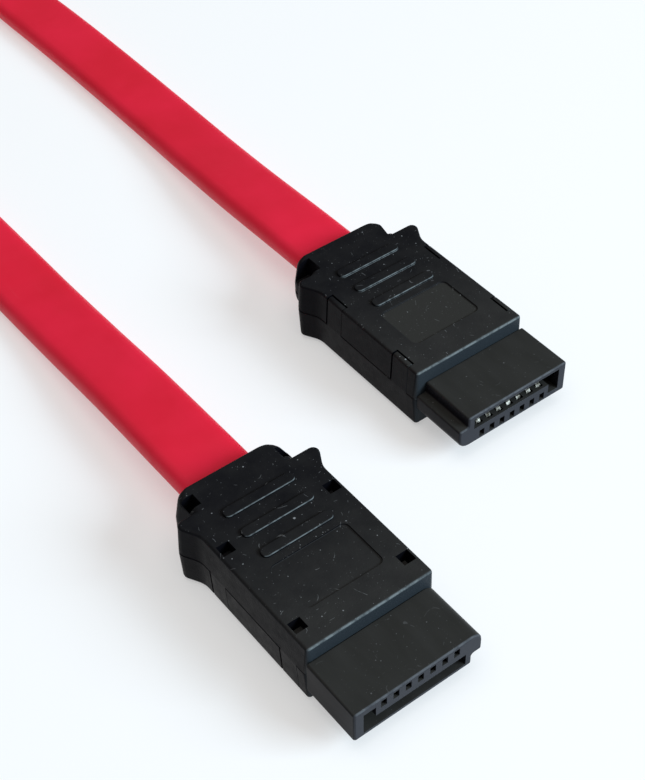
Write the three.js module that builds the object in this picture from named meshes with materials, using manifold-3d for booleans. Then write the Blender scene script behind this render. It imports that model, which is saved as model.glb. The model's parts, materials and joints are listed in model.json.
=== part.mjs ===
// A flat red data cable with a black seven-contact connector on each end.
// Lengths are in millimetres and +Z is up. The cable lies on the plane z = 0 and both noses point to -Y.
// Each connector is two snapped covers round a nose insulator, seven contacts and seven wire ends.
import * as THREE from "three";
import { mergeVertices } from "three/addons/utils/BufferGeometryUtils.js";
import Module from "manifold-3d";

const wasm = await Module();
wasm.setup();

// General fits
const FIT = 0.05; // between pieces that are held face to face
const RUN = 0.15; // round the cable, the pegs and the tabs
const CUT = 1; // how far a cutting tool reaches past the face that it opens
const ARC_STEPS = 5; // flat steps in each rounded corner

// Covers, seen in the connector's own frame: x across, y from the front face back to the cable, z up
const BODY_WIDTH = 13.5; // at the parting plane
const BODY_LENGTH = 17.8; // front face to the back edge of the ears
const BODY_HEIGHT = 6.8; // over the flat faces, without the grip bars
const FRONT_CORNER = 0.5;
const DRAFT = 0.15; // the sides lean in by this much from the parting plane to the edge round
const EDGE_ROUND = 0.3;
const EAR_REACH = 1.5; // the ears stand out past the sides, before their tips are rounded
const EAR_START = 15.1; // where a side starts to flare into its ear
const EAR_TIP_ROUND = 0.8;
const EAR_FLARE_ROUND = 2.2;
const SEAM_GROOVE = 0.1; // a fine groove where the two covers meet

// Collar round the cable, arched in section and fuller on its left
const COLLAR_WIDTH = 12.5; // at the parting plane
const COLLAR_SIDE = 1.0; // its sides stand upright this far from the parting plane
const COLLAR_SIDE_ROUND = 2.4;
const COLLAR_LENGTH = 2.8;
const COLLAR_CORNER = 1.3; // in plan, at its back end
// How far each flank leans in from the side to its top, with the shoulder's round and the back corner
const RIGHT_FLANK = { lean: 1.4, shoulder: 1.3, corner: 1.3 };
const LEFT_FLANK = { lean: 0.65, shoulder: 1.0, corner: 0.9 };

// Grip bars and label recess
const BAR_COUNT = 3;
const BAR_LENGTH = 7.5;
const BAR_WIDTH = 1.15;
const BAR_HEIGHT = 0.25;
const BAR_ROUND = 0.5;
const BAR_PITCH = 2.77;
const BAR_FIRST = 10.15; // middle of the bar nearest the label
const LABEL_WIDTH = 8.2;
const LABEL_LENGTH = 5.5;
const LABEL_MIDDLE = 6.0;
const LABEL_DEPTH = 0.15;
const LABEL_CORNER = 0.6;

// Inside of the covers
const CAVITY_WIDTH = 9.4;
const CAVITY_HEIGHT = 4.4;
const CAVITY_FRONT = 2.6;
const CAVITY_BACK = 16.6;

// Snaps: pegs of the slotted cover sit in the square holes of the holed cover, whose tabs fill the slots
const HOLE_SIZE = 1.25;
const HOLE_MIDDLE_X = 5.65;
const SNAP_Y = [2.5, 12.6];
const COLLAR_HOLE_X = 5.05;
const COLLAR_HOLE_BACK = 1.0; // its middle behind the ears' back edge
const COLLAR_HOLE_LENGTH = 1.4;
const PEG_LIP = 1.1; // how deep a peg's end lies below the face
const COLLAR_PEG_LIP = 2.5;
const TAB_LENGTH = 2.2;
const TAB_THICKNESS = 0.7;
const SLOT_GAP = 0.2; // behind and inside the tabs
const POCKET_LENGTH = 2.0; // from the ears' back edge
const POCKET_INSIDE = 4.35; // the pockets open from here out to the collar's sides
const POCKET_DEPTH = 2.2;

// Nose insulator
const NOSE_LENGTH = 6.3;
const NOSE_HEIGHT = 3.6;
const NOSE_WIDTH = 13.4; // over the ledge
const NOSE_SHIFT = 0.1; // off the body's middle, away from the ledge
const LEDGE_WIDTH = 1.05;
const LEDGE_HEIGHT = 2.4;
const LEDGE_ROUND = 1.2;
const NOSE_EDGE_ROUND = 0.25;
const NOSE_FRONT_ROUND = 0.2;
const SLOT_WIDTH = 10.7; // the L-shaped mouth takes a 10.41 mm tongue
const SLOT_HEIGHT = 1.3;
const SLOT_ROOF = 0.45;
const SLOT_DEPTH = 5.7;
const KEY_WIDTH = 1.25;
const KEY_DEPTH = 2.45; // from the slot's roof to the end of its key
const KEY_WALL = 0.95;
const CONTACT_INSET = 4.83; // the middle contact from the slot's end without the key
const TENON_WIDTH = 8.8;
const TENON_HEIGHT = 2.9;
const TENON_LENGTH = 5.0;
const FLANGE_WIDTH = 9.2;
const FLANGE_HEIGHT = 3.9;
const FLANGE_THICKNESS = 1.0;
const FRONT_WALL = 1.2; // of the covers, ahead of the flange

// Contacts and wires
const CONTACT_COUNT = 7;
const CONTACT_PITCH = 1.27;
const CONTACT_WIDTH = 0.5;
const CONTACT_THICKNESS = 0.25;
const CHANNEL_WIDTH = 0.7;
const CHANNEL_FLOOR = 0.75; // above the nose's underside
const NOSE_SKIN = 0.3; // the wall that the windows open
const WINDOW_WIDTH = 0.6;
const WINDOW_HEIGHT = 0.85;
const WINDOW_SILL = 0.35; // above the nose's underside
const CONTACT_RISE = 0.3; // the contacts bow up into the slot by this much
const BOW_BACK = 1.6; // the bow's places, behind the contact's front
const BOW_TOP = 0.75;
const BOW_FRONT = 0.3;
const BOW_FALL = 0.2; // below its top, at the back and the front
const BEND_DROP = 0.7; // where the tip is bent straight down
const BEAM_ROOT = 1.2; // the beam springs from here, inside the nose
const TAIL_LENGTH = 1.8; // past the tenon
const WIRE_DIAMETER = 0.7;
const GROUND_DIAMETER = 0.4;
const WIRE_SIDES = 8;
const WIRE_STEPS = 6;
const WIRE_STRIP = 0.3; // between a wire's end and the contact or cable that it meets
const GROUND_CONTACTS = [0, 3, 6];
const PAIR_OFFSET = 1.85; // each shielded pair's middle from the cable's middle
const CORE_OFFSET = 0.5; // each core from its pair's middle

// Cable
const CABLE_WIDTH = 7.6;
const CABLE_THICKNESS = 2.3;
const CABLE_INSET = 3.4; // how far the cable reaches into the collar
const CABLE_STEPS = 80;
const JACKET_ARC = 4; // flat steps round each edge

// Tie round the two runs
const TIE_Y = 150;
const TIE_WALL = 0.8;
const TIE_LENGTH = 3.2;
const TIE_ROUND = 1.0;
const TIE_HEAD = 4.0; // along the cable
const TIE_HEAD_DEPTH = 2.2;
const TIE_HEAD_HEIGHT = 3.4;
const TIE_TAIL = 0.7;
const RUN_GAP = 0.4; // between the two runs of cable in the tie

// Where the connectors lie: the middle of each one's front face
const END1 = { x: 13.5, y: 2.25 };
const END2 = { x: -13.5, y: -16.4 };

// Values that follow
const MID = BAR_HEIGHT + BODY_HEIGHT / 2; // the parting plane above the table
const TOP = MID + BODY_HEIGHT / 2;
const NOSE_RIGHT = NOSE_WIDTH / 2 + NOSE_SHIFT;
const NOSE_FLOOR = MID - NOSE_HEIGHT / 2;
const SLOT_TOP = NOSE_FLOOR + NOSE_HEIGHT - SLOT_ROOF;
const SLOT_FLOOR = SLOT_TOP - SLOT_HEIGHT;
const SLOT_RIGHT = NOSE_RIGHT - KEY_WALL;
const CONTACT_MIDDLE = SLOT_RIGHT - SLOT_WIDTH + CONTACT_INSET;

const black = new THREE.MeshStandardMaterial({ color: 0x1b1c1d, roughness: 0.55, metalness: 0 });
const blackNose = new THREE.MeshStandardMaterial({ color: 0x2b2a27, roughness: 0.45, metalness: 0 });
const metal = new THREE.MeshStandardMaterial({ color: 0xc9b98a, roughness: 0.3, metalness: 1 });
const tin = new THREE.MeshStandardMaterial({ color: 0xb9bcc0, roughness: 0.35, metalness: 1 });
const core = new THREE.MeshStandardMaterial({ color: 0xd8d4c8, roughness: 0.5, metalness: 0 });
const red = new THREE.MeshStandardMaterial({ color: 0xc8202f, roughness: 0.45, metalness: 0 });

// Turns a closed geometry into a solid that can be joined and cut.
function solid(geometry) {
  const bare = geometry.index ? geometry.clone() : geometry;
  for (const name of Object.keys(bare.attributes)) {
    if (name !== "position") bare.deleteAttribute(name);
  }
  const merged = mergeVertices(bare, 1e-5);
  return new wasm.Manifold(
    new wasm.Mesh({
      numProp: 3,
      vertProperties: new Float32Array(merged.attributes.position.array),
      triVerts: new Uint32Array(merged.index.array),
    }),
  );
}

function geometryOf(body) {
  const mesh = body.getMesh();
  const geometry = new THREE.BufferGeometry();
  geometry.setAttribute("position", new THREE.BufferAttribute(new Float32Array(mesh.vertProperties), 3));
  geometry.setIndex(new THREE.BufferAttribute(new Uint32Array(mesh.triVerts), 1));
  geometry.computeVertexNormals();
  return geometry;
}

function box(x0, x1, y0, y1, z0, z1) {
  const geometry = new THREE.BoxGeometry(x1 - x0, y1 - y0, z1 - z0);
  geometry.translate((x0 + x1) / 2, (y0 + y1) / 2, (z0 + z1) / 2);
  return solid(geometry);
}

// The outline of a polygon with rounded corners, moved in by inset. Corners go anticlockwise.
function outline(corners, inset = 0) {
  const points = [];
  corners.forEach((corner, i) => {
    const at = new THREE.Vector2(corner.x, corner.y);
    const before = corners[(i + corners.length - 1) % corners.length];
    const after = corners[(i + 1) % corners.length];
    const into = at.clone().sub(new THREE.Vector2(before.x, before.y)).normalize();
    const out = new THREE.Vector2(after.x, after.y).sub(at).normalize();
    const turn = into.cross(out) > 0 ? 1 : -1;
    const half = Math.acos(THREE.MathUtils.clamp(into.dot(out), -1, 1)) / 2;
    const radius = corner.r;
    if (radius === 0) {
      points.push(at);
      return;
    }
    const start = at.clone().addScaledVector(into, -radius * Math.tan(half));
    const left = new THREE.Vector2(-into.y, into.x).multiplyScalar(turn);
    const centre = start.clone().addScaledVector(left, radius);
    const from = Math.atan2(-left.y, -left.x);
    for (let k = 0; k <= ARC_STEPS; k++) {
      const angle = from + (turn * 2 * half * k) / ARC_STEPS;
      const reach = radius - turn * inset;
      points.push(new THREE.Vector2(centre.x + reach * Math.cos(angle), centre.y + reach * Math.sin(angle)));
    }
  });
  return points;
}

// A closed solid through level outlines with the same number of points, from the lowest to the highest.
function loft(rings) {
  const count = rings[0].points.length;
  const positions = rings.flatMap(({ points, z }) => points.flatMap((p) => [p.x, p.y, z]));
  const index = [];
  for (let r = 0; r + 1 < rings.length; r++) {
    for (let k = 0; k < count; k++) {
      const a = r * count + k;
      const b = r * count + ((k + 1) % count);
      index.push(a, b, b + count, a, b + count, a + count);
    }
  }
  const last = (rings.length - 1) * count;
  for (const [a, b, c] of THREE.ShapeUtils.triangulateShape(rings[0].points, [])) {
    index.push(c, b, a);
    index.push(last + a, last + b, last + c);
  }
  const geometry = new THREE.BufferGeometry();
  geometry.setAttribute("position", new THREE.Float32BufferAttribute(positions, 3));
  geometry.setIndex(index);
  return solid(geometry);
}

function prism(corners, z0, z1) {
  const points = outline(corners);
  return loft([{ points, z: z0 }, { points, z: z1 }]);
}

// A profile drawn in x and z, extruded along y.
function alongY(corners, y0, y1) {
  return prism(corners, 0, y1 - y0).rotate([90, 0, 0]).translate([0, y1, 0]);
}

function roundedRectangle(x, y, width, length, r) {
  const w = width / 2;
  const l = length / 2;
  return [
    { x: x + w, y: y - l, r },
    { x: x + w, y: y + l, r },
    { x: x - w, y: y + l, r },
    { x: x - w, y: y - l, r },
  ];
}

// Both halves of a plan or profile, each drawn on the right. The left is like the right unless it is given.
function mirrored(right, left = right) {
  return [...right, ...left.map(({ x, y, r }) => ({ x: -x, y, r })).reverse()];
}

// The body's plan: straight sides and flared ears.
function bodyPlan(front) {
  const side = BODY_WIDTH / 2;
  return mirrored([
    { x: side, y: front, r: FRONT_CORNER },
    { x: side, y: EAR_START, r: EAR_FLARE_ROUND },
    { x: side + EAR_REACH, y: BODY_LENGTH, r: EAR_TIP_ROUND },
  ]);
}

// Half of the body above the parting plane: a seam groove, draft and a rounded edge.
// Its front moves out with the draft, so that the front face stays upright.
function bodyHalf() {
  const ring = (inset, z) => ({ points: outline(bodyPlan(-Math.min(inset, DRAFT)), inset), z });
  const rings = [ring(SEAM_GROOVE, MID), ring(0, MID + SEAM_GROOVE), ring(DRAFT, TOP - EDGE_ROUND)];
  for (const angle of [30, 60, 90]) {
    const a = THREE.MathUtils.degToRad(angle);
    rings.push(ring(DRAFT + EDGE_ROUND * (1 - Math.cos(a)), TOP - EDGE_ROUND * (1 - Math.sin(a))));
  }
  return loft(rings);
}

// How far a rounded edge has fallen back at a place that lies so far past the arc's start.
function fallBack(radius, past) {
  return radius - Math.sqrt(Math.max(radius ** 2 - Math.max(past, 0) ** 2, 0));
}

// Half of the collar: an arch drawn in x and z that narrows round the back corners.
function collarHalf() {
  const back = BODY_LENGTH + COLLAR_LENGTH;
  const flank = (y, { lean, shoulder, corner }) => {
    const side = COLLAR_WIDTH / 2 - fallBack(COLLAR_CORNER, y - (back - COLLAR_CORNER));
    const narrow = fallBack(corner, y - (back - corner));
    const drop = fallBack(EDGE_ROUND, y - (back - EDGE_ROUND));
    return [
      { x: side - SEAM_GROOVE, y: MID, r: 0 },
      { x: side, y: MID + SEAM_GROOVE, r: 0 },
      { x: side, y: MID + COLLAR_SIDE, r: COLLAR_SIDE_ROUND },
      { x: COLLAR_WIDTH / 2 - lean - narrow, y: TOP - drop, r: shoulder },
    ];
  };
  const section = (y) => mirrored(flank(y, RIGHT_FLANK), flank(y, LEFT_FLANK));
  const rings = [{ points: outline(section(0)), z: BODY_LENGTH - CUT }];
  for (let k = 0; k <= ARC_STEPS; k++) {
    const a = (k / ARC_STEPS) * (Math.PI / 2);
    const y = back - COLLAR_CORNER * (1 - Math.sin(a));
    rings.push({ points: outline(section(y)), z: y });
  }
  // Turned so that the rings' heights run back along y.
  return loft(rings.map(({ points, z }) => ({ points, z: -z })).reverse()).rotate([90, 0, 0]);
}

// Half of the connector's body above the parting plane.
function coverBlank() {
  return bodyHalf().add(collarHalf());
}

// The same half below the parting plane.
function turnedOver(half) {
  return half.rotate([0, 180, 0]).translate([0, 0, 2 * MID]);
}

// Grip bars, label recess, cavity, nose seat and cable mouth, the same on both covers.
function commonCover() {
  let cover = coverBlank();
  for (let i = 0; i < BAR_COUNT; i++) {
    const y = BAR_FIRST + i * BAR_PITCH;
    const bar = roundedRectangle(0, y, BAR_LENGTH, BAR_WIDTH, BAR_ROUND);
    cover = cover.add(prism(bar, TOP - CUT / 2, TOP + BAR_HEIGHT));
  }
  const label = roundedRectangle(0, LABEL_MIDDLE, LABEL_WIDTH, LABEL_LENGTH, LABEL_CORNER);
  cover = cover.subtract(prism(label, TOP - LABEL_DEPTH, TOP + CUT));
  const cavity = CAVITY_WIDTH / 2;
  cover = cover.subtract(box(-cavity, cavity, CAVITY_FRONT, CAVITY_BACK, MID - CUT, MID + CAVITY_HEIGHT / 2));
  const tenon = TENON_WIDTH / 2 + FIT;
  const tenonTop = MID + TENON_HEIGHT / 2 + FIT;
  cover = cover.subtract(box(-tenon, tenon, -CUT, CAVITY_FRONT + CUT, MID - CUT, tenonTop));
  const flange = FLANGE_WIDTH / 2 + FIT;
  const flangeTop = MID + FLANGE_HEIGHT / 2 + FIT;
  cover = cover.subtract(box(-flange, flange, FRONT_WALL, CAVITY_FRONT + CUT, MID - CUT, flangeTop));
  const mouth = CABLE_WIDTH / 2 + RUN;
  const back = BODY_LENGTH + COLLAR_LENGTH;
  const mouthTop = MID + CABLE_THICKNESS / 2 + RUN;
  cover = cover.subtract(box(-mouth, mouth, CAVITY_BACK - CUT, back + CUT, MID - CUT, mouthTop));
  return cover;
}

// A box round a tab, or round the slot that holds it with a gap behind and inside it and less in front.
function tabBox(sign, y, gap, frontGap, z0, z1) {
  const inner = sign * (BODY_WIDTH / 2 - TAB_THICKNESS - gap);
  const outer = sign * (BODY_WIDTH / 2 + CUT);
  const front = y - TAB_LENGTH / 2 - frontGap;
  const back = y + TAB_LENGTH / 2 + gap;
  return box(Math.min(inner, outer), Math.max(inner, outer), front, back, z0, z1);
}

// The six square holes' places and half lengths, with the depth that each one's peg stops at.
function snapPlaces() {
  const places = [];
  for (const sign of [-1, 1]) {
    for (const y of SNAP_Y) places.push({ x: sign * HOLE_MIDDLE_X, y, reach: HOLE_SIZE / 2, lip: PEG_LIP });
    const y = BODY_LENGTH + COLLAR_HOLE_BACK;
    places.push({ x: sign * COLLAR_HOLE_X, y, reach: COLLAR_HOLE_LENGTH / 2, lip: COLLAR_PEG_LIP });
  }
  return places;
}

// A square hole, or with a gap the peg that stands in it, clear of the tab beside it.
function snapBox({ x, y, reach }, gap, z0, z1) {
  const middle = x - Math.sign(x) * gap;
  const half = HOLE_SIZE / 2 - gap;
  const length = reach - gap;
  return box(middle - half, middle + half, y - length, y + length, z0, z1);
}

// The upper cover in the connector's own frame: slots for the tabs, pegs for the square holes.
function slottedCover() {
  let cover = commonCover();
  for (const sign of [-1, 1]) {
    for (const y of SNAP_Y) {
      cover = cover.subtract(tabBox(sign, y, SLOT_GAP, FIT, MID - CUT, TOP + CUT));
    }
    const inner = sign * POCKET_INSIDE;
    const outer = sign * (COLLAR_WIDTH / 2 + CUT);
    const [x0, x1] = [Math.min(inner, outer), Math.max(inner, outer)];
    const pocketBack = BODY_LENGTH + POCKET_LENGTH;
    cover = cover.subtract(box(x0, x1, BODY_LENGTH, pocketBack, TOP - POCKET_DEPTH, TOP + CUT));
  }
  for (const place of snapPlaces()) {
    cover = cover.add(snapBox(place, RUN, MID - BODY_HEIGHT / 2 + place.lip, MID + CUT / 2));
  }
  return cover;
}

// The lower cover, made as an upper one and turned over: square holes, and tabs that fill the slots flush.
function holedCover() {
  let cover = commonCover();
  for (const place of snapPlaces()) cover = cover.subtract(snapBox(place, 0, MID - CUT, TOP + CUT));
  const tabs = turnedOver(coverBlank());
  for (const sign of [-1, 1]) {
    for (const y of SNAP_Y) {
      cover = cover.add(tabs.intersect(tabBox(sign, y, 0, 0, MID - BODY_HEIGHT, MID + CUT)));
      const inner = sign * (BODY_WIDTH / 2 - TAB_THICKNESS);
      const outer = (sign * BODY_WIDTH) / 2;
      const [x0, x1] = [Math.min(inner, outer), Math.max(inner, outer)];
      const reach = TAB_LENGTH / 2;
      cover = cover.add(box(x0, x1, y - reach, y + reach, MID - SEAM_GROOVE, MID + SEAM_GROOVE));
    }
  }
  return turnedOver(cover);
}

// The nose's end view, extruded back: a block with a lower ledge on one side and a rounded front edge.
function noseBlock() {
  const left = NOSE_RIGHT - NOSE_WIDTH;
  const step = left + LEDGE_WIDTH;
  const top = NOSE_FLOOR + NOSE_HEIGHT;
  const ledge = NOSE_FLOOR + LEDGE_HEIGHT;
  const edge = NOSE_EDGE_ROUND;
  const corners = [
    { x: NOSE_RIGHT, y: NOSE_FLOOR, r: edge },
    { x: NOSE_RIGHT, y: top, r: edge },
    { x: step, y: top, r: edge },
    { x: step, y: ledge, r: edge },
    { x: left, y: ledge, r: edge },
    { x: left, y: NOSE_FLOOR, r: LEDGE_ROUND },
  ];
  const length = NOSE_LENGTH - FIT;
  const rings = [{ points: outline(corners), z: 0 }];
  for (const angle of [0, 45, 90]) {
    const a = THREE.MathUtils.degToRad(angle);
    const inset = NOSE_FRONT_ROUND * (1 - Math.cos(a));
    rings.push({ points: outline(corners, inset), z: length - NOSE_FRONT_ROUND * (1 - Math.sin(a)) });
  }
  return loft(rings).rotate([90, 0, 0]).translate([0, -FIT, 0]);
}

function contactX(i) {
  return CONTACT_MIDDLE + (i - (CONTACT_COUNT - 1) / 2) * CONTACT_PITCH;
}

function noseInsulator() {
  let nose = noseBlock();
  const tenonZ = TENON_HEIGHT / 2;
  nose = nose.add(box(-TENON_WIDTH / 2, TENON_WIDTH / 2, -CUT, TENON_LENGTH, MID - tenonZ, MID + tenonZ));
  const flangeY = FRONT_WALL + FIT;
  const flangeZ = FLANGE_HEIGHT / 2;
  const flangeX = FLANGE_WIDTH / 2;
  nose = nose.add(box(-flangeX, flangeX, flangeY, flangeY + FLANGE_THICKNESS, MID - flangeZ, MID + flangeZ));
  const front = -NOSE_LENGTH;
  const slotBack = front + SLOT_DEPTH;
  nose = nose.subtract(box(SLOT_RIGHT - SLOT_WIDTH, SLOT_RIGHT, front - CUT, slotBack, SLOT_FLOOR, SLOT_TOP));
  const keyFloor = SLOT_TOP - KEY_DEPTH;
  nose = nose.subtract(box(SLOT_RIGHT - KEY_WIDTH, SLOT_RIGHT, front - CUT, slotBack, keyFloor, SLOT_TOP));
  for (let i = 0; i < CONTACT_COUNT; i++) {
    const x = contactX(i);
    const half = CHANNEL_WIDTH / 2;
    const floor = NOSE_FLOOR + CHANNEL_FLOOR;
    const skin = front + NOSE_SKIN;
    nose = nose.subtract(box(x - half, x + half, skin, slotBack, floor, SLOT_FLOOR + CUT / 2));
    const tunnel = SLOT_FLOOR - FIT;
    nose = nose.subtract(box(x - half, x + half, slotBack - CUT, TENON_LENGTH + CUT, floor, tunnel));
    const w = WINDOW_WIDTH / 2;
    const sill = NOSE_FLOOR + WINDOW_SILL;
    nose = nose.subtract(box(x - w, x + w, front - CUT, skin + NOSE_SKIN * 2, sill, sill + WINDOW_HEIGHT));
  }
  return nose;
}

// One contact: a strip bent in the y-z plane, bowed up into the slot, its tip turned down behind a window.
function contactStrip(i) {
  const half = CONTACT_THICKNESS / 2;
  const low = NOSE_FLOOR + CHANNEL_FLOOR + FIT + half;
  const high = SLOT_FLOOR + CONTACT_RISE - half;
  const front = -NOSE_LENGTH + NOSE_SKIN + FIT + half;
  const line = [
    [TENON_LENGTH + TAIL_LENGTH, low],
    [-BEAM_ROOT, low],
    [front + BOW_BACK, high - BOW_FALL],
    [front + BOW_TOP, high],
    [front + BOW_FRONT, high - BOW_FALL],
    [front, high - BEND_DROP],
    [front, NOSE_FLOOR + WINDOW_SILL + WINDOW_HEIGHT / 2],
  ].map(([y, z]) => new THREE.Vector2(y, z));
  const normals = line.map((p, k) => {
    const before = line[Math.max(k - 1, 0)];
    const after = line[Math.min(k + 1, line.length - 1)];
    const along = after.clone().sub(before).normalize();
    return new THREE.Vector2(-along.y, along.x);
  });
  const one = line.map((p, k) => p.clone().addScaledVector(normals[k], half));
  const other = line.map((p, k) => p.clone().addScaledVector(normals[k], -half)).reverse();
  const shape = new THREE.Shape([...one, ...other]);
  const geometry = new THREE.ExtrudeGeometry(shape, { depth: CONTACT_WIDTH, bevelEnabled: false });
  // Shape x and y become y and z, and the extrusion runs across.
  geometry.applyMatrix4(new THREE.Matrix4().set(0, 0, 1, 0, 1, 0, 0, 0, 0, 1, 0, 0, 0, 0, 0, 1));
  geometry.translate(contactX(i) - CONTACT_WIDTH / 2, 0, 0);
  return geometry;
}

function circle(diameter, sides) {
  const points = [];
  for (let k = 0; k < sides; k++) {
    const a = (2 * Math.PI * k) / sides;
    points.push(new THREE.Vector2((diameter / 2) * Math.cos(a), (diameter / 2) * Math.sin(a)));
  }
  return new THREE.Shape(points);
}

// Where each wire leaves the cable: grounds at the edges and the middle, cores in two pairs.
function wireStartX(i) {
  if (i === 0) return -(PAIR_OFFSET + 3 * CORE_OFFSET);
  if (i === 3) return 0;
  if (i === 6) return PAIR_OFFSET + 3 * CORE_OFFSET;
  const pair = i < 3 ? -PAIR_OFFSET : PAIR_OFFSET;
  const first = i === 1 || i === 4;
  return pair + (first ? -CORE_OFFSET : CORE_OFFSET);
}

function wireEnd(i) {
  const ground = GROUND_CONTACTS.includes(i);
  const diameter = ground ? GROUND_DIAMETER : WIRE_DIAMETER;
  const tailY = TENON_LENGTH + TAIL_LENGTH + WIRE_STRIP;
  const tailZ = NOSE_FLOOR + CHANNEL_FLOOR + FIT + CONTACT_THICKNESS / 2;
  const cableY = BODY_LENGTH + COLLAR_LENGTH - CABLE_INSET - WIRE_STRIP;
  const from = new THREE.Vector3(wireStartX(i), cableY, MID);
  const to = new THREE.Vector3(contactX(i), tailY, tailZ);
  const third = (cableY - tailY) / 3;
  const curve = new THREE.CubicBezierCurve3(
    from,
    from.clone().setY(cableY - third),
    to.clone().setY(tailY + third),
    to,
  );
  const section = circle(diameter, WIRE_SIDES);
  return new THREE.ExtrudeGeometry(section, { steps: WIRE_STEPS, bevelEnabled: false, extrudePath: curve });
}

// One connector, its pieces named with the end's own prefix.
function connector(prefix) {
  const group = new THREE.Group();
  const put = (name, geometry, material) => {
    const mesh = new THREE.Mesh(geometry, material);
    mesh.name = `${prefix}_${name}`;
    group.add(mesh);
  };
  put("slotted_cover", geometryOf(slottedCover()), black);
  put("holed_cover", geometryOf(holedCover()), black);
  put("nose_insulator", geometryOf(noseInsulator()), blackNose);
  let grounds = 0;
  let signals = 0;
  for (let i = 0; i < CONTACT_COUNT; i++) {
    put(`contact_${i + 1}`, contactStrip(i), metal);
    const ground = GROUND_CONTACTS.includes(i);
    const name = ground ? `ground_wire_${++grounds}` : `signal_wire_${++signals}`;
    put(name, wireEnd(i), ground ? tin : core);
  }
  return group;
}

// The jacket's flat section with half-round edges.
function jacketSection() {
  const thick = CABLE_THICKNESS / 2;
  const points = [];
  for (const side of [1, -1]) {
    for (let k = 0; k <= JACKET_ARC; k++) {
      const a = (side > 0 ? -0.5 : 0.5) * Math.PI + (k * Math.PI) / JACKET_ARC;
      const x = side * (CABLE_WIDTH / 2 - thick) + thick * Math.cos(a);
      points.push(new THREE.Vector2(x, thick * Math.sin(a)));
    }
  }
  return points;
}

// Half the height that the section stands at when it is rolled by so many degrees.
function halfHeight(roll) {
  const a = THREE.MathUtils.degToRad(roll);
  return Math.max(...jacketSection().map((p) => p.x * Math.sin(a) + p.y * Math.cos(a)));
}

// The cable's route: x, y, how far the jacket's lowest edge is off the table, and its roll in degrees.
// Roll 0 lies flat and 90 stands on edge. It goes from inside the first collar down to the table,
// through the tie, round a loop, through the tie again and back to the second collar.
const BACK = BODY_LENGTH + COLLAR_LENGTH;
const HELD = MID - CABLE_THICKNESS / 2;
const TIED = (RUN_GAP + CABLE_THICKNESS) / 2;
const CABLE_ROUTE = [
  [END1.x, END1.y + BACK - CABLE_INSET, HELD, 0],
  [END1.x, END1.y + BACK, HELD, 0],
  [END1.x, END1.y + BACK + 7, HELD - 0.1, 0],
  [13.9, 40, 1.55, 0],
  [14.6, 50, 0.55, 0],
  [15.1, 61, 0.05, 0],
  [15.0, 89, 0, 0],
  [14.3, 101, 0, 10],
  [12.6, 113, 0, 40],
  [9.6, 124, 0, 75],
  [5.4, 135, 0.3, 90],
  [TIED, TIE_Y - TIE_LENGTH, TIE_WALL + FIT, 90],
  [TIED, TIE_Y + TIE_LENGTH, TIE_WALL + FIT, 90],
  [5.2, 167, 0.3, 90],
  [11.4, 180, 0, 90],
  [17.2, 191, 0, 90],
  [20.0, 202, 0, 90],
  [17.3, 212.5, 0, 90],
  [10.0, 219.5, 0, 90],
  [0, 222, 0, 90],
  [-10.0, 219.5, 0, 90],
  [-17.3, 212.5, 0, 90],
  [-20.0, 202, 0, 90],
  [-17.2, 191, 0, 90],
  [-11.4, 180, 0, 90],
  [-5.2, 167, 0.3, 90],
  [-TIED, TIE_Y + TIE_LENGTH, TIE_WALL + FIT, 90],
  [-TIED, TIE_Y - TIE_LENGTH, TIE_WALL + FIT, 90],
  [-5.2, 134, 0.3, 90],
  [-8.8, 122, 0, 100],
  [-11.4, 108, 0, 130],
  [-12.8, 94, 0, 162],
  [-13.3, 80, 0, 178],
  [-13.1, 52, 0, 180],
  [-13.0, 40, 0.05, 180],
  [-13.1, 30, 0.75, 180],
  [-13.3, 21, 1.75, 180],
  [END2.x, END2.y + BACK + 7, HELD - 0.1, 180],
  [END2.x, END2.y + BACK, HELD, 180],
  [END2.x, END2.y + BACK - CABLE_INSET, HELD, 180],
];

// A smooth line through the route. Its height follows from the lift and the roll at each place.
class FlatRoute extends THREE.CatmullRomCurve3 {
  constructor(route) {
    super(route.map(([x, y]) => new THREE.Vector3(x, y, 0)), false, "centripetal");
    const states = route.map(([, , lift, roll]) => new THREE.Vector3(lift, roll, 0));
    this.state = new THREE.CatmullRomCurve3(states, false, "catmullrom", 0.5);
  }

  getPoint(t, target = new THREE.Vector3()) {
    super.getPoint(t, target);
    const state = this.state.getPoint(t);
    return target.setZ(Math.max(state.x, 0) + halfHeight(state.y));
  }

  // The section's own frames: level across the cable, then turned by the roll.
  computeFrenetFrames(steps) {
    const up = new THREE.Vector3(0, 0, 1);
    const frames = { tangents: [], normals: [], binormals: [] };
    for (let i = 0; i <= steps; i++) {
      const u = i / steps;
      const along = this.getTangentAt(u);
      const roll = this.state.getPoint(this.getUtoTmapping(u)).y;
      const across = up.clone().cross(along).normalize();
      across.applyAxisAngle(along, THREE.MathUtils.degToRad(roll));
      frames.tangents.push(along);
      frames.normals.push(across);
      frames.binormals.push(along.clone().cross(across).normalize());
    }
    return frames;
  }
}

function flatCable() {
  const path = new FlatRoute(CABLE_ROUTE);
  return new THREE.ExtrudeGeometry(new THREE.Shape(jacketSection()), {
    steps: CABLE_STEPS,
    bevelEnabled: false,
    extrudePath: path,
  });
}

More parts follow.
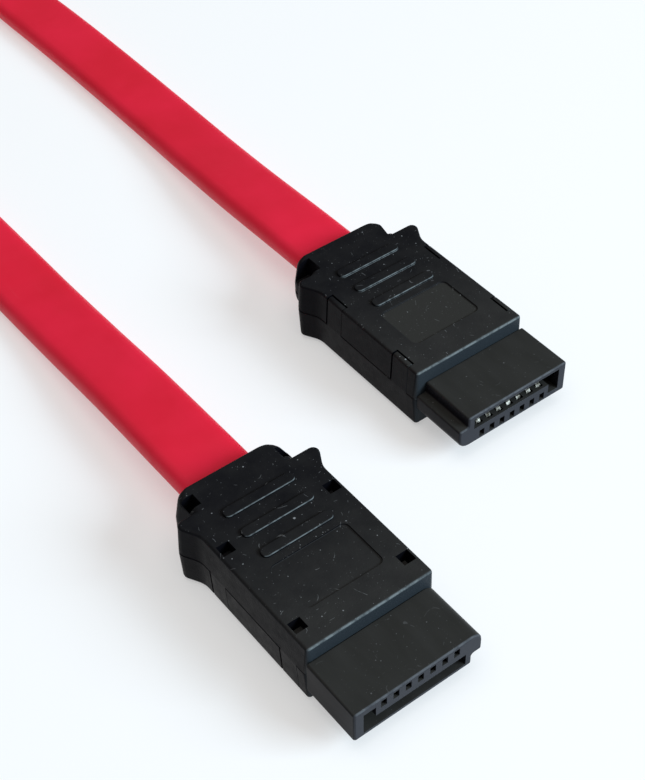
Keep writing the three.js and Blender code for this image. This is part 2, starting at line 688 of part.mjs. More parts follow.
// A closed strap round both runs where they lie side by side, with its square head on one side.
function cableTie() {
  const insideX = TIED + CABLE_THICKNESS / 2 + RUN;
  const low = TIE_WALL;
  const high = TIE_WALL + CABLE_WIDTH + RUN;
  const middle = (low + high) / 2;
  const y0 = TIE_Y - TIE_LENGTH / 2;
  const y1 = TIE_Y + TIE_LENGTH / 2;
  const inside = roundedRectangle(0, middle, 2 * insideX, high - low, TIE_ROUND - TIE_WALL);
  const outside = roundedRectangle(0, middle, 2 * (insideX + TIE_WALL), high - low + 2 * TIE_WALL, TIE_ROUND);
  const strap = alongY(outside, y0, y1);
  const face = insideX + TIE_WALL / 2;
  const headBack = insideX + TIE_HEAD_DEPTH;
  const headLow = middle - TIE_HEAD_HEIGHT / 2;
  const headHigh = middle + TIE_HEAD_HEIGHT / 2;
  const head = box(face, headBack, TIE_Y - TIE_HEAD / 2, TIE_Y + TIE_HEAD / 2, headLow, headHigh);
  const tailX = headBack - TIE_TAIL - FIT;
  const tail = box(tailX, tailX + TIE_TAIL, y0, y1, headLow - TIE_TAIL, high + TIE_WALL);
  return geometryOf(strap.add(head).add(tail).subtract(alongY(inside, y0 - CUT, y1 + CUT)));
}

const cable = new THREE.Group();

const end1 = connector("end1");
end1.position.set(END1.x, END1.y, 0);
cable.add(end1);

// The second connector is turned over about its own length.
const end2 = connector("end2");
end2.position.set(END2.x, END2.y, 2 * MID);
end2.rotation.y = Math.PI;
cable.add(end2);

const jacket = new THREE.Mesh(flatCable(), red);
jacket.name = "flat_cable";
cable.add(jacket);

const tie = new THREE.Mesh(cableTie(), black);
tie.name = "cable_tie";
cable.add(tie);

export default cable;
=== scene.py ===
"""Looks of a flat red data cable with a black connector on each end, lying on a pale floor.

Lengths are in millimetres until MM turns them into Blender's metres.
"""
import json
import math

import bpy
import bmesh
from mathutils import Matrix, Vector


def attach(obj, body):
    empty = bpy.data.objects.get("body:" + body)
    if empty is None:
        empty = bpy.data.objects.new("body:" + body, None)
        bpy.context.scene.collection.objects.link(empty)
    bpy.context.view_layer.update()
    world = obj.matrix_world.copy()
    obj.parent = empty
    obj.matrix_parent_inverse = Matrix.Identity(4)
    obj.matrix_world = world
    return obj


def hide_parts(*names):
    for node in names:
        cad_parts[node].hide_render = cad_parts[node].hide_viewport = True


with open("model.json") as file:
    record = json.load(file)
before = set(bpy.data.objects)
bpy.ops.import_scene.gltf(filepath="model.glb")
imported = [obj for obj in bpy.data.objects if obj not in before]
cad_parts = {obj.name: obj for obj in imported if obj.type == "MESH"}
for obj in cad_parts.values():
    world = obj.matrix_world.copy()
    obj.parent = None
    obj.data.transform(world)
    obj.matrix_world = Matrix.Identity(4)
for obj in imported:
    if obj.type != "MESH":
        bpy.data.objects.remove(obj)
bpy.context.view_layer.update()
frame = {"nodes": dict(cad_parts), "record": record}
NODES = frame["nodes"]
MM = 0.001

CABLE_WIDTH = 7.6
CABLE_THICKNESS = 2.3

# The camera, found from the plug's standard sizes: its place in millimetres and its directions
IMAGE_WIDTH = 645
FOCAL_PIXELS = 1567.6
SENSOR = 36.0
CAMERA_PLACE = Vector((-62.227, -76.623, 109.795))
CAMERA_RIGHT = Vector((0.79380, -0.60789, -0.01879))
CAMERA_UP = Vector((0.44039, 0.55322, 0.70711))
CLIP_NEAR = 0.005
CLIP_FAR = 20

# The cable's route, as it was laid: x, y, lift of the jacket's lowest edge off the table, roll in degrees
MID = 3.65
END1 = (13.5, 2.25)
END2 = (-13.5, -16.4)
BACK = 20.6
CABLE_INSET = 3.4
HELD = MID - CABLE_THICKNESS / 2
TIE_Y = 150.0
TIE_LENGTH = 3.2
TIED = (0.4 + CABLE_THICKNESS) / 2
TIE_LIFT = 0.85
CABLE_ROUTE = [
    (END1[0], END1[1] + BACK - CABLE_INSET, HELD, 0),
    (END1[0], END1[1] + BACK, HELD, 0),
    (END1[0], END1[1] + BACK + 7, HELD - 0.1, 0),
    (13.9, 40, 1.55, 0),
    (14.6, 50, 0.55, 0),
    (15.1, 61, 0.05, 0),
    (15.0, 89, 0, 0),
    (14.3, 101, 0, 10),
    (12.6, 113, 0, 40),
    (9.6, 124, 0, 75),
    (5.4, 135, 0.3, 90),
    (TIED, TIE_Y - TIE_LENGTH, TIE_LIFT, 90),
    (TIED, TIE_Y + TIE_LENGTH, TIE_LIFT, 90),
    (5.2, 167, 0.3, 90),
    (11.4, 180, 0, 90),
    (17.2, 191, 0, 90),
    (20.0, 202, 0, 90),
    (17.3, 212.5, 0, 90),
    (10.0, 219.5, 0, 90),
    (0, 222, 0, 90),
    (-10.0, 219.5, 0, 90),
    (-17.3, 212.5, 0, 90),
    (-20.0, 202, 0, 90),
    (-17.2, 191, 0, 90),
    (-11.4, 180, 0, 90),
    (-5.2, 167, 0.3, 90),
    (-TIED, TIE_Y + TIE_LENGTH, TIE_LIFT, 90),
    (-TIED, TIE_Y - TIE_LENGTH, TIE_LIFT, 90),
    (-5.2, 134, 0.3, 90),
    (-8.8, 122, 0, 100),
    (-11.4, 108, 0, 130),
    (-12.8, 94, 0, 162),
    (-13.3, 80, 0, 178),
    (-13.1, 52, 0, 180),
    (-13.0, 40, 0.05, 180),
    (-13.1, 30, 0.75, 180),
    (-13.3, 21, 1.75, 180),
    (END2[0], END2[1] + BACK + 7, HELD - 0.1, 180),
    (END2[0], END2[1] + BACK, HELD, 180),
    (END2[0], END2[1] + BACK - CABLE_INSET, HELD, 180),
]
EDGE_STEPS = 8
FLAT_STEPS = 6
RING_SPACING = 0.8
FINE_STEPS = 4000
SAME_PLACE = 1e-4


def camera():
    data = bpy.data.cameras.new("photo_camera")
    data.sensor_fit = "HORIZONTAL"
    data.sensor_width = SENSOR
    data.lens = FOCAL_PIXELS / IMAGE_WIDTH * SENSOR
    data.clip_start = CLIP_NEAR
    data.clip_end = CLIP_FAR
    eye = bpy.data.objects.new("photo_camera", data)
    bpy.context.scene.collection.objects.link(eye)
    back = CAMERA_RIGHT.cross(CAMERA_UP)
    turn = Matrix((CAMERA_RIGHT, CAMERA_UP, back)).transposed()
    eye.matrix_world = Matrix.Translation(CAMERA_PLACE * MM) @ turn.to_4x4()
    bpy.context.scene.camera = eye


def spline_through(points, knots):
    """A function of t from 0 to 1 that passes the points, one stretch each.

    Its tangents come from the knots' spacing.
    """
    count = len(points)

    def at(t):
        place = min(max(t, 0), 1) * (count - 1)
        i = min(int(place), count - 2)
        share = place - i
        here, after = points[i], points[i + 1]
        before = points[i - 1] if i > 0 else here * 2 - after
        beyond = points[i + 2] if i + 2 < count else after * 2 - here
        gaps = [knots(before, here), knots(here, after), knots(after, beyond)]
        if gaps[1] < SAME_PLACE:
            gaps[1] = 1.0
        for end_gap in (0, 2):
            if gaps[end_gap] < SAME_PLACE:
                gaps[end_gap] = gaps[1]
        lead = (here - before) / gaps[0] - (after - before) / (gaps[0] + gaps[1]) + (after - here) / gaps[1]
        tail = (after - here) / gaps[1] - (beyond - here) / (gaps[1] + gaps[2]) + (beyond - after) / gaps[2]
        lead *= gaps[1]
        tail *= gaps[1]
        c2 = 3 * (after - here) - 2 * lead - tail
        c3 = 2 * (here - after) + lead + tail
        return here + lead * share + c2 * share**2 + c3 * share**3

    return at


def jacket_section():
    """The flat section with half-round edges, anticlockwise, in millimetres."""
    thick = CABLE_THICKNESS / 2
    flat = CABLE_WIDTH / 2 - thick
    points = []
    for side in (1, -1):
        for k in range(EDGE_STEPS + 1):
            a = -side * math.pi / 2 + k * math.pi / EDGE_STEPS
            points.append((side * flat + thick * math.cos(a), thick * math.sin(a)))
        for k in range(1, FLAT_STEPS):
            points.append((side * flat * (1 - 2 * k / FLAT_STEPS), side * thick))
    return points


def half_height(roll, section):
    a = math.radians(roll)
    return max(x * math.sin(a) + y * math.cos(a) for x, y in section)


def cable_line():
    """The centreline's points and rolls, evenly spaced along the route."""
    flat_places = [Vector((x, y, 0)) for x, y, _, _ in CABLE_ROUTE]
    states = [Vector((lift, roll, 0)) for _, _, lift, roll in CABLE_ROUTE]
    place_at = spline_through(flat_places, lambda a, b: (b - a).length ** 0.5)
    state_at = spline_through(states, lambda a, b: 1.0)
    section = jacket_section()

    def point(t):
        state = state_at(t)
        p = place_at(t)
        return Vector((p.x, p.y, max(state.x, 0) + half_height(state.y, section)))

    fine = [point(k / FINE_STEPS) for k in range(FINE_STEPS + 1)]
    travelled = [0.0]
    for a, b in zip(fine, fine[1:]):
        travelled.append(travelled[-1] + (b - a).length)
    steps = round(travelled[-1] / RING_SPACING)
    line = []
    k = 0
    for i in range(steps + 1):
        goal = travelled[-1] * i / steps
        while k < FINE_STEPS - 1 and travelled[k + 1] < goal:
            k += 1
        share = (goal - travelled[k]) / (travelled[k + 1] - travelled[k])
        t = (k + min(max(share, 0), 1)) / FINE_STEPS
        line.append((point(t), math.radians(state_at(t).y)))
    return line


def mesh_object(name, mesh_builder):
    mesh = bpy.data.meshes.new(name)
    piece = bpy.data.objects.new(name, mesh)
    bpy.context.scene.collection.objects.link(piece)
    form = bmesh.new()
    mesh_builder(form)
    bmesh.ops.recalc_face_normals(form, faces=form.faces)
    form.to_mesh(mesh)
    form.free()
    for face in mesh.polygons:
        face.use_smooth = True
    return piece


# Moulded pieces: the same shapes with their edges rounded as a mould rounds them.
# The label place's floor and the bars are told by their distance from the parting plane. WELD joins
# the solid's triangles at their corners and SLIVER clears what the rounding leaves too small to see.
FLAT_ANGLE = math.radians(1.0)
CREASE_ANGLE = math.radians(35)
MOULD_ROUND = 0.1
MOULD_SEGMENTS = 2
WELD = 0.001
SLIVER = 0.0005
LEVEL_FACE = 0.99
SHADING_WEIGHT = 80
LABEL_FLOOR = 3.25
LABEL_REACH = 0.03
BAR_FOOT = 3.43
BAR_TOP = 3.6
BAR_ROUND = 0.13


def chains(edges):
    """The edges in groups that hang together, always in the same order."""
    left = dict.fromkeys(edges)
    groups = []
    for first in edges:
        if first not in left:
            continue
        del left[first]
        group = [first]
        for edge in group:
            for vert in edge.verts:
                for other in vert.link_edges:
                    if other in left:
                        del left[other]
                        group.append(other)
        groups.append(group)
    return groups


def moulded(name, node, smooth_label=False):
    """A copy of a moulded solid with rounded edges, which takes the solid's place."""
    source = NODES[node]

    def off_middle(place):
        return abs((source.matrix_world @ place).z / MM - MID)

    def lies_in_label(face):
        depth = off_middle(face.calc_center_median())
        return abs(face.normal.z) > LEVEL_FACE and abs(depth - LABEL_FLOOR) < LABEL_REACH

    def build(form):
        form.from_mesh(source.data)
        bmesh.ops.remove_doubles(form, verts=form.verts, dist=WELD * MM)
        bmesh.ops.dissolve_limit(form, angle_limit=FLAT_ANGLE, verts=form.verts, edges=form.edges)
        chain_number = form.edges.layers.int.new("chain")
        creases = [e for e in form.edges if len(e.link_faces) == 2 and e.calc_face_angle() > CREASE_ANGLE]
        groups = chains(creases)
        rounds = []
        for number, group in enumerate(groups, start=1):
            on_bar = all(off_middle(vert.co) > BAR_TOP for edge in group for vert in edge.verts)
            rounds.append((number, BAR_ROUND if on_bar else MOULD_ROUND))
            for edge in group:
                edge[chain_number] = number
        for number, rounding in rounds:
            bmesh.ops.bevel(
                form,
                geom=[edge for edge in form.edges if edge[chain_number] == number],
                offset=rounding * MM,
                offset_type="OFFSET",
                segments=MOULD_SEGMENTS,
                profile=0.5,
                affect="EDGES",
                clamp_overlap=True,
            )
        bmesh.ops.remove_doubles(form, verts=form.verts, dist=SLIVER * MM)
        bmesh.ops.dissolve_degenerate(form, dist=SLIVER * MM, edges=form.edges)
        label = form.faces.layers.float.new("label")
        for face in form.faces:
            face[label] = float(smooth_label and lies_in_label(face))

    piece = mesh_object(name, build)
    piece.matrix_world = source.matrix_world
    weights = piece.modifiers.new("even_shading", "WEIGHTED_NORMAL")
    weights.weight = SHADING_WEIGHT
    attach(piece, "root")
    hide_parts(node)
    return piece


def cable():
    line = cable_line()
    section = jacket_section()
    girth = [0.0]
    for a, b in zip(section, section[1:] + section[:1]):
        girth.append(girth[-1] + math.dist(a, b))

    def build(form):
        rings = []
        for i, (centre, roll) in enumerate(line):
            ahead = line[min(i + 1, len(line) - 1)][0]
            behind = line[max(i - 1, 0)][0]
            along = (ahead - behind).normalized()
            across = Vector((0, 0, 1)).cross(along).normalized()
            across.rotate(Matrix.Rotation(roll, 3, along))
            up = along.cross(across)
            rings.append([form.verts.new((centre + across * x + up * y) * MM) for x, y in section])
        along_map = form.loops.layers.uv.new("along")
        for i, (a, b) in enumerate(zip(rings, rings[1:])):
            for k in range(len(a)):
                j = (k + 1) % len(a)
                face = form.faces.new((a[k], a[j], b[j], b[k]))
                places = ((i, k), (i, k + 1), (i + 1, k + 1), (i + 1, k))
                for loop, (step, turn) in zip(face.loops, places):
                    loop[along_map].uv = (step * RING_SPACING * MM, girth[turn] * MM)
        form.faces.new(rings[0])
        form.faces.new(list(reversed(rings[-1])))

    piece = mesh_object("red_jacket", build)
    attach(piece, "root")
    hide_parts("flat_cable")
    return piece


# Base colours, as linear light
DUST = (0.27, 0.275, 0.28)
# The cover's black, which is also the painted shade on its sides
COVER_SHADED_BLACK = (0.0036, 0.0036, 0.0052)
# Painted sheen on the cover's tops, with random hazy patches
COVER_SHEEN_AND_HAZE = (0.0290, 0.0280, 0.0265)
COVER_LABEL = (0.029, 0.028, 0.0255)
# Painted highlight on the cover's leading edges
COVER_EDGE_HIGHLIGHT = (0.135, 0.155, 0.160)
# Painted reflection on the cover's faces that look forward
COVER_FRONT_REFLECTION = (0.030, 0.038, 0.045)
# Painted shade on the nose's sides
NOSE_SIDE_SHADE = (0.0085, 0.0085, 0.0108)
NOSE_DARK = (0.0235, 0.0228, 0.0208)
NOSE_LIGHT = (0.0295, 0.0288, 0.0268)
# Painted highlight on the nose's leading edges
NOSE_EDGE_HIGHLIGHT = (0.075, 0.080, 0.088)
# Painted reflection on the nose's faces that look forward
NOSE_FRONT_REFLECTION = (0.034, 0.037, 0.045)
RED_DEEP = (0.69, 0.0105, 0.031)
RED_BRIGHT = (0.79, 0.0135, 0.046)
RED_RUBBED = (0.7, 0.06, 0.09)
CONTACT_DULL = (0.13, 0.115, 0.085)
CONTACT_BRIGHT = (0.72, 0.69, 0.61)
TIN_DULL = (0.66, 0.67, 0.69)
TIN_BRIGHT = (0.78, 0.79, 0.80)
CORE_DARK = (0.66, 0.64, 0.58)
CORE_LIGHT = (0.74, 0.72, 0.67)
TIE_DARK = (0.006, 0.006, 0.0065)
TIE_LIGHT = (0.012, 0.012, 0.013)

# How much the surfaces shine when seen head on, and how rough they are
COVER_SHINE = 0.045
NOSE_SHINE = 0.05
JACKET_SHINE = 0.3
COVER_ROUGHNESS = (0.36, 0.48)
NOSE_ROUGHNESS = (0.34, 0.44)
JACKET_ROUGHNESS = (0.4, 0.52)
CONTACT_ROUGHNESS = (0.22, 0.36)
TIN_ROUGHNESS = (0.3, 0.42)
CORE_ROUGHNESS = 0.38
TIE_ROUGHNESS = (0.36, 0.46)

# The part of its range that a noise texture really fills, and the front end of a plug's length
NOISE_RANGE = (0.3, 0.7)
FRONT_END = (0.12, 0.09)

# Each kind of speck: the cell that may hold one, in millimetres, how often one does, and how bright it is
DUST_SIZES = ((0.16, 0.30, 0.30), (0.24, 0.20, 0.5), (0.38, 0.12, 0.75), (0.6, 0.05, 1.0))
SPECK_REACH = (0.06, 0.2)
SPECK_EDGE = (1.2, 0.7)
FIBRE_WIDTH = (0.010, 0.004)
DUSTY_SIDES = (0.3, 0.9)
COVER_DUST = 0.85
NOSE_DUST = 0.35
MIXERS = (91.7, 37.3)


class Finish:
    """A material whose nodes are added one by one, all in the object's own coordinates."""

    def __init__(self, name):
        self.material = bpy.data.materials.new(name)
        self.material.use_nodes = True
        self.tree = self.material.node_tree
        self.shader = self.tree.nodes["Principled BSDF"]
        self.place = self.add("ShaderNodeTexCoord").outputs["Object"]

    def add(self, kind, **settings):
        node = self.tree.nodes.new(kind)
        for key, value in settings.items():
            setattr(node, key, value)
        return node

    def feed(self, socket, value):
        if isinstance(value, bpy.types.NodeSocket):
            self.tree.links.new(value, socket)
        elif isinstance(value, tuple):
            socket.default_value = (*value, 1.0) if len(value) == 3 and socket.type == "RGBA" else value
        else:
            socket.default_value = value

    def set(self, **values):
        for name, value in values.items():
            self.feed(self.shader.inputs[name.replace("_", " ")], value)

    def stretched(self, scale, where=None):
        node = self.add("ShaderNodeMapping")
        self.feed(node.inputs["Vector"], where or self.place)
        node.inputs["Scale"].default_value = scale
        return node.outputs["Vector"]

    def noise(self, size_mm, detail=2.0, roughness=0.5, where=None):
        node = self.add("ShaderNodeTexNoise")
        self.feed(node.inputs["Vector"], where or self.place)
        node.inputs["Scale"].default_value = 1.0 / (size_mm * MM)
        node.inputs["Detail"].default_value = detail
        node.inputs["Roughness"].default_value = roughness
        return node.outputs["Fac"]

    def cells(self, size_mm, where=None):
        """Distance from the middle of each cell, in cells, and a number that is random to the cell."""
        node = self.add("ShaderNodeTexVoronoi")
        self.feed(node.inputs["Vector"], where or self.place)
        node.inputs["Scale"].default_value = 1.0 / (size_mm * MM)
        return node.outputs["Distance"], node.outputs["Color"]

    def spread(self, value, low, high, to_low=0.0, to_high=1.0):
        """The value moved from one range to another, and held inside it."""
        node = self.add("ShaderNodeMapRange")
        self.feed(node.inputs["Value"], value)
        node.inputs["From Min"].default_value = low
        node.inputs["From Max"].default_value = high
        node.inputs["To Min"].default_value = to_low
        node.inputs["To Max"].default_value = to_high
        return node.outputs["Result"]

    def math(self, operation, a, b=0.5):
        node = self.add("ShaderNodeMath", operation=operation)
        self.feed(node.inputs[0], a)
        self.feed(node.inputs[1], b)
        return node.outputs["Value"]

    def times(self, *values):
        product = values[0]
        for value in values[1:]:
            product = self.math("MULTIPLY", product, value)
        return product

    def draw(self, number, mixer):
        """Another number from 0 to 1, made from one that is random to the cell."""
        return self.math("FRACT", self.times(number, mixer))

    def between(self, share, first, second):
        node = self.add("ShaderNodeMix", data_type="RGBA")
        self.feed(node.inputs["Factor"], share)
        self.feed(node.inputs["A"], first)
        self.feed(node.inputs["B"], second)
        return node.outputs["Result"]

    def bump(self, height, strength, depth_mm, below=None):
        node = self.add("ShaderNodeBump")
        self.feed(node.inputs["Height"], height)
        node.inputs["Strength"].default_value = strength
        node.inputs["Distance"].default_value = depth_mm * MM
        if below is not None:
            self.feed(node.inputs["Normal"], below)
        return node.outputs["Normal"]

    def shaken(self, size_mm, reach_mm):
        """The object's coordinates moved about a little, so that what is drawn on them is uneven."""
        node = self.add("ShaderNodeTexNoise")
        self.feed(node.inputs["Vector"], self.place)
        node.inputs["Scale"].default_value = 1.0 / (size_mm * MM)
        offset = self.add("ShaderNodeVectorMath", operation="SCALE")
        self.feed(offset.inputs["Vector"], node.outputs["Color"])
        offset.inputs["Scale"].default_value = reach_mm * MM
        total = self.add("ShaderNodeVectorMath", operation="ADD")
        self.feed(total.inputs[0], self.place)
        self.feed(total.inputs[1], offset.outputs["Vector"])
        return total.outputs["Vector"]

    def along_piece(self):
        """0 at the front of the piece's box and 1 at its back."""
        split = self.add("ShaderNodeSeparateXYZ")
        self.feed(split.inputs[0], self.add("ShaderNodeTexCoord").outputs["Generated"])
        return split.outputs["Y"]

    def facing(self, axis):
        """How far the surface faces along an axis, from -1 to 1."""
        split = self.add("ShaderNodeSeparateXYZ")
        self.feed(split.inputs[0], self.add("ShaderNodeNewGeometry").outputs["Normal"])
        return split.outputs[axis]

    def ahead(self):
        """1 where the surface faces the front, as the plug's leading faces and edges do."""
        return self.spread(self.facing("Y"), -0.3, -0.7)

    def leading_edge(self):
        """1 on the rounded edges between a top or underside and what faces the front."""
        level = self.math("ABSOLUTE", self.facing("Z"))
        return self.times(self.ahead(), self.spread(level, 0.25, 0.5))

    def on_bars(self):
        """1 on the grip bars, which stand out past the body's flat faces."""
        split = self.add("ShaderNodeSeparateXYZ")
        self.feed(split.inputs[0], self.place)
        off_middle = self.math("ABSOLUTE", self.math("SUBTRACT", split.outputs["Z"], MID * MM))
        return self.math("GREATER_THAN", off_middle, BAR_FOOT * MM)

    def marked(self, name):
        """The number that the piece's faces carry under a name."""
        return self.add("ShaderNodeAttribute", attribute_name=name).outputs["Fac"]


def dust(finish, thickness):
    """How much dust there is: uneven specks and a few short curled fibres on what faces up."""
    crowd = finish.spread(finish.noise(1.1, detail=4.0, roughness=0.65), 0.40, 0.62, 0.12, 1.0)
    settled = finish.times(thickness, finish.spread(finish.facing("Z"), *DUSTY_SIDES))
    uneven = finish.shaken(0.12, 0.09)
    layers = []
    for size, share, strength in DUST_SIZES:
        distance, number = finish.cells(size, where=uneven)
        chance, growth = [finish.draw(number, mixer) for mixer in MIXERS]
        reach = finish.spread(growth, 0.0, 1.0, *SPECK_REACH)
        speck = finish.spread(finish.math("DIVIDE", distance, reach), *SPECK_EDGE)
        there = finish.math("LESS_THAN", chance, finish.times(crowd, share))
        layers.append(finish.times(speck, there, strength))
    curl = finish.math("ABSOLUTE", finish.math("SUBTRACT", finish.noise(1.6, detail=0.0), 0.5))
    piece_of_curl = finish.spread(finish.noise(0.9, detail=1.0), 0.62, 0.66, 0.0, 0.35)
    layers.append(finish.times(finish.spread(curl, *FIBRE_WIDTH), piece_of_curl))
    total = layers[0]
    for layer in layers[1:]:
        total = finish.math("MAXIMUM", total, layer)
    return finish.times(total, settled)


def painted_front_light(finish, tone, highlight_tone, reflection_tone):
    """The tone with painted light at the front end: a painted highlight on the leading edges there and on
    the bars, and a painted reflection on the faces that look forward.
    """
    uneven = finish.spread(finish.noise(0.6, detail=3.0), 0.36, 0.58, 0.3, 1.0)
    at_front = finish.spread(finish.along_piece(), *FRONT_END)
    # Painted reflection on the faces that look forward, near the plug's front end
    face = finish.times(finish.ahead(), 0.8, at_front)
    # Where the painted highlight may fall: the front end and the bars
    highlighted_parts = finish.math("MAXIMUM", at_front, finish.on_bars())
    # Painted highlight along the leading edges, uneven along them
    painted_highlight = finish.times(highlighted_parts, finish.leading_edge(), uneven)
    return finish.between(painted_highlight, finish.between(face, tone, reflection_tone), highlight_tone)


def cover_finish():
    """Moulded black plastic with a fine grain, random hazy patches and dust on what faces up, with painted
    light: a painted sheen on the tops that grows towards the front half, painted shade on the sides, a
    painted highlight on the leading edges and a painted reflection on the front faces.
    """
    finish = Finish("black_plastic")
    patches = finish.noise(2.2, detail=6.0, roughness=0.62)
    # Painted reflection on the tops, lighter towards the front half
    front = finish.spread(finish.along_piece(), 0.7, 0.08, 0.0, 0.7)
    # The painted sheen added to random hazy patches
    front_sheen_and_patches = finish.math("ADD", front, finish.times(patches, 0.75))
    # Only faces that look up get the sheen, so the sides keep the dark tone as painted shade
    top_sheen_and_patches = finish.times(front_sheen_and_patches, finish.spread(finish.facing("Z"), 0.2, 0.9))
    bare = finish.between(finish.spread(top_sheen_and_patches, 0.1, 1.25), COVER_SHADED_BLACK, COVER_SHEEN_AND_HAZE)
    smooth = finish.between(finish.marked("label"), bare, COVER_LABEL)
    tone = painted_front_light(finish, smooth, COVER_EDGE_HIGHLIGHT, COVER_FRONT_REFLECTION)
    specks = dust(finish, COVER_DUST)
    finish.set(Base_Color=finish.between(specks, tone, DUST))
    finish.set(Roughness=finish.spread(finish.noise(0.9, detail=3.0), *NOISE_RANGE, *COVER_ROUGHNESS))
    finish.shader.inputs["Specular IOR Level"].default_value = COVER_SHINE
    grain = finish.bump(finish.noise(0.2, detail=3.0), 0.5, 0.035)
    finish.set(Normal=finish.bump(specks, 0.4, 0.03, below=grain))
    return finish.material


def nose_finish():
    """The nose's smoother plastic, brownish, with faint flow marks and a little dust, painted shade on its
    sides, a painted highlight on its leading edges and a painted reflection on its front faces.
    """
    finish = Finish("nose_plastic")
    flow = finish.noise(1.8, detail=3.0, where=finish.stretched((1.0, 0.25, 1.0)))
    bare = finish.between(finish.spread(flow, *NOISE_RANGE), NOSE_DARK, NOSE_LIGHT)
    level = finish.math("ABSOLUTE", finish.facing("Z"))
    # Painted shade on the faces that look sideways
    shaded_sides = finish.between(finish.spread(level, 0.3, 0.8), NOSE_SIDE_SHADE, bare)
    tone = painted_front_light(finish, shaded_sides, NOSE_EDGE_HIGHLIGHT, NOSE_FRONT_REFLECTION)
    specks = dust(finish, NOSE_DUST)
    finish.set(Base_Color=finish.between(specks, tone, DUST))
    finish.set(Roughness=finish.spread(flow, *NOISE_RANGE, *NOSE_ROUGHNESS))
    finish.shader.inputs["Specular IOR Level"].default_value = NOSE_SHINE
    finish.set(Normal=finish.bump(finish.noise(0.3), 0.12, 0.01))
    return finish.material


def jacket_finish():
    """Soft red PVC: satin, with shallow scuffs along its length."""
    finish = Finish("red_pvc")
    run = finish.add("ShaderNodeUVMap", uv_map="along").outputs["UV"]
    patches = finish.noise(9.0, detail=3.0)
    tone = finish.between(finish.spread(patches, *NOISE_RANGE), RED_DEEP, RED_BRIGHT)
    lanes = finish.stretched((0.12, 1.0, 1.0), where=run)
    scuff = finish.spread(finish.noise(0.8, detail=3.0, where=lanes), 0.62, 0.78)
    rubbed = finish.times(scuff, finish.spread(finish.noise(6.0), 0.5, 0.65))
    finish.set(Base_Color=finish.between(finish.times(rubbed, 0.25), tone, RED_RUBBED))
    finish.set(Roughness=finish.spread(finish.noise(2.5, detail=4.0), *NOISE_RANGE, *JACKET_ROUGHNESS))
    soft = finish.bump(finish.noise(3.5, detail=1.0), 0.2, 0.12)
    finish.set(Normal=finish.bump(rubbed, 0.2, 0.02, below=soft))
    finish.shader.inputs["Specular IOR Level"].default_value = JACKET_SHINE
    return finish.material


def contact_finish():
    """Thin gold plating, rubbed where a plug has slid on it."""
    finish = Finish("contact_metal")
    rub = finish.noise(0.45, detail=2.0)
    finish.set(Base_Color=finish.between(finish.spread(rub, *NOISE_RANGE), CONTACT_DULL, CONTACT_BRIGHT))
    finish.shader.inputs["Metallic"].default_value = 1.0
    finish.set(Roughness=finish.spread(rub, *NOISE_RANGE, *CONTACT_ROUGHNESS))
    return finish.material


def tinned_finish():
    """Tin with a little tarnish."""
    finish = Finish("tinned_wire")
    tarnish = finish.noise(0.6, detail=3.0)
    finish.set(Base_Color=finish.between(tarnish, TIN_DULL, TIN_BRIGHT))
    finish.shader.inputs["Metallic"].default_value = 1.0
    finish.set(Roughness=finish.spread(tarnish, *NOISE_RANGE, *TIN_ROUGHNESS))
    return finish.material


def core_finish():
    """The signal wires' natural insulation, slightly cloudy."""
    finish = Finish("core_insulation")
    cloud = finish.noise(1.2, detail=2.0)
    finish.set(Base_Color=finish.between(cloud, CORE_DARK, CORE_LIGHT))
    finish.shader.inputs["Roughness"].default_value = CORE_ROUGHNESS
    return finish.material


def tie_finish():
    """Black nylon with a fine satin grain."""
    finish = Finish("tie_nylon")
    cloud = finish.noise(1.5, detail=3.0)
    finish.set(Base_Color=finish.between(cloud, TIE_DARK, TIE_LIGHT))
    finish.set(Roughness=finish.spread(cloud, *NOISE_RANGE, *TIE_ROUGHNESS))
    finish.set(Normal=finish.bump(finish.noise(0.2), 0.15, 0.01))
    return finish.material


def paint(piece, material):
    piece.data.materials.clear()
    piece.data.materials.append(material)


def area_light(name, place, target, size, power, colour):
    data = bpy.data.lights.new(name, "AREA")
    data.shape = "RECTANGLE"
    data.size, data.size_y = size
    data.energy = power
    data.color = colour
    lamp = bpy.data.objects.new(name, data)
    bpy.context.scene.collection.objects.link(lamp)
    lamp.location = place
    lamp.rotation_euler = (Vector(target) - Vector(place)).to_track_quat("-Z", "Y").to_euler()


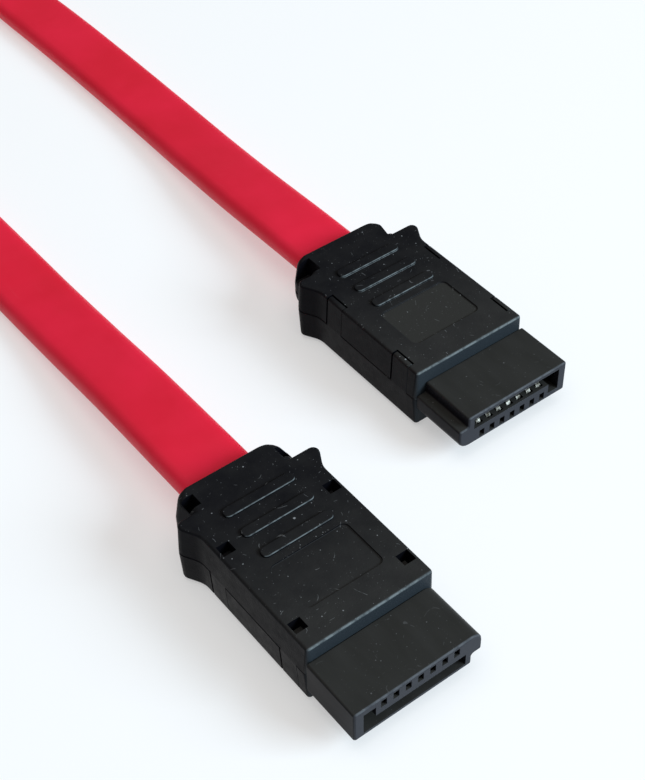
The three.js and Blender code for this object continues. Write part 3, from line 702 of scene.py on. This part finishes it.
# The studio in metres: a bright white table under soft lamps, with a darker room round it
FLOOR_REACH = 6
FLOOR_DROP = 0.00002
FLOOR_WHITE = 0.52
FLOOR_ROUGHNESS = 0.9
FLOOR_SHINE = 0.1
FLOOR_GLOW = 0.44
ROOM_COLOUR = (0.93, 0.96, 1, 1)
ROOM_LIGHT = 0.15
SOFTBOX = {
    "place": (-0.1, -0.1, 1.1),
    "target": (0, 0.02, 0),
    "size": (1.1, 0.9),
    "power": 5.5,
    "colour": (1.0, 0.97, 0.93),
}
WINDOW = {
    "place": (0.5, -0.67, 0.5),
    "target": (0, 0, 0),
    "size": (0.55, 0.42),
    "power": 13.0,
    "colour": (0.72, 0.88, 1.0),
}


def studio():
    bpy.context.scene.view_settings.view_transform = "Standard"
    mesh = bpy.data.meshes.new("floor")
    floor = bpy.data.objects.new("floor", mesh)
    bpy.context.scene.collection.objects.link(floor)
    form = bmesh.new()
    bmesh.ops.create_grid(form, x_segments=1, y_segments=1, size=FLOOR_REACH)
    form.to_mesh(mesh)
    form.free()
    floor.location.z = -FLOOR_DROP
    white = bpy.data.materials.new("white_table")
    white.use_nodes = True
    shader = white.node_tree.nodes["Principled BSDF"]
    shader.inputs["Base Color"].default_value = (FLOOR_WHITE, FLOOR_WHITE, FLOOR_WHITE, 1)
    shader.inputs["Roughness"].default_value = FLOOR_ROUGHNESS
    shader.inputs["Specular IOR Level"].default_value = FLOOR_SHINE
    shader.inputs["Emission Color"].default_value = (1, 1, 1, 1)
    shader.inputs["Emission Strength"].default_value = FLOOR_GLOW
    paint(floor, white)
    world = bpy.data.worlds.new("studio")
    bpy.context.scene.world = world
    world.use_nodes = True
    background = world.node_tree.nodes["Background"]
    background.inputs["Color"].default_value = ROOM_COLOUR
    background.inputs["Strength"].default_value = ROOM_LIGHT
    area_light("softbox", **SOFTBOX)
    area_light("window", **WINDOW)


camera()
paint(cable(), jacket_finish())
studio()

BLACK = cover_finish()
NOSE = nose_finish()
for end in ("end1", "end2"):
    for cover in ("slotted_cover", "holed_cover"):
        smooth_label = cover == "slotted_cover"
        paint(moulded(f"{end}_{cover}_shell", f"{end}_{cover}", smooth_label), BLACK)
    paint(moulded(f"{end}_nose_body", f"{end}_nose_insulator"), NOSE)

LOOKS = {
    "contact": contact_finish(),
    "drain_wire": tinned_finish(),
    "wire_core": core_finish(),
    "tie": tie_finish(),
}
for part in frame["record"]["subparts"]:
    if part["material_slot"] in LOOKS:
        paint(NODES[part["node"]], LOOKS[part["material_slot"]])
